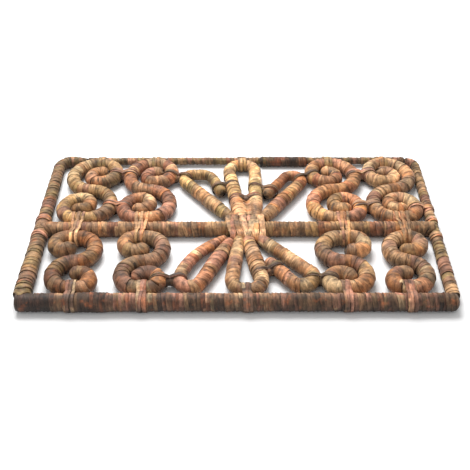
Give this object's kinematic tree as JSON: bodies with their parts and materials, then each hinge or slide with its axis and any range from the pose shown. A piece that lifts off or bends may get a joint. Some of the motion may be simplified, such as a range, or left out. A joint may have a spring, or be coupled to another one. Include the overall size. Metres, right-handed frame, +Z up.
{
  "type": "door mat",
  "caption": "Openwork rectangular door mat of bound natural-fibre rope, with scrolls and a looped flower inside a frame and middle bar.",
  "frame": {"origin": "middle of the underside, on the ground", "axes": "+X along the long side to the right, +Y from front to back, +Z up"},
  "size_m": [0.75, 0.45, 0.033],
  "materials": {
    "core_fibre": "matte",
    "front_wrap": "matte",
    "frame_wrap": "matte",
    "scroll_wrap": "matte",
    "petal_wrap": "matte",
    "lashing": "matte",
    "splice_wrap": "matte"
  },
  "bodies": {
    "root": {"front_bar_core": "core_fibre", "front_bar_wrap": "front_wrap", "middle_bar_core": "core_fibre", "middle_bar_wrap": "frame_wrap", "back_bar_core": "core_fibre", "back_bar_wrap": "frame_wrap", "left_side_core": "core_fibre", "left_side_wrap": "frame_wrap", "right_side_core": "core_fibre", "right_side_wrap": "frame_wrap", "upper_scroll_1_core": "core_fibre", "upper_scroll_1_wrap": "scroll_wrap", "upper_scroll_2_core": "core_fibre", "upper_scroll_2_wrap": "scroll_wrap", "upper_scroll_3_core": "core_fibre", "upper_scroll_3_wrap": "scroll_wrap", "upper_scroll_4_core": "core_fibre", "upper_scroll_4_wrap": "scroll_wrap", "lower_scroll_1_core": "core_fibre", "lower_scroll_1_wrap": "scroll_wrap", "lower_scroll_2_core": "core_fibre", "lower_scroll_2_wrap": "scroll_wrap", "lower_scroll_3_core": "core_fibre", "lower_scroll_3_wrap": "scroll_wrap", "lower_scroll_4_core": "core_fibre", "lower_scroll_4_wrap": "scroll_wrap", "upper_left_petal_core": "core_fibre", "upper_left_petal_wrap": "petal_wrap", "upper_middle_petal_core": "core_fibre", "upper_middle_petal_wrap": "petal_wrap", "upper_right_petal_core": "core_fibre", "upper_right_petal_wrap": "petal_wrap", "lower_left_petal_core": "core_fibre", "lower_left_petal_wrap": "petal_wrap", "lower_middle_petal_core": "core_fibre", "lower_middle_petal_wrap": "petal_wrap", "lower_right_petal_core": "core_fibre", "lower_right_petal_wrap": "petal_wrap", "back_bar_ties": "lashing", "middle_bar_ties": "lashing", "front_bar_ties": "lashing", "scroll_pair_ties": "lashing", "petal_ties": "lashing", "side_rope_ties": "lashing", "flower_lashing": "lashing", "front_splice": "splice_wrap", "back_splice": "splice_wrap"}
  },
  "joints": []
}
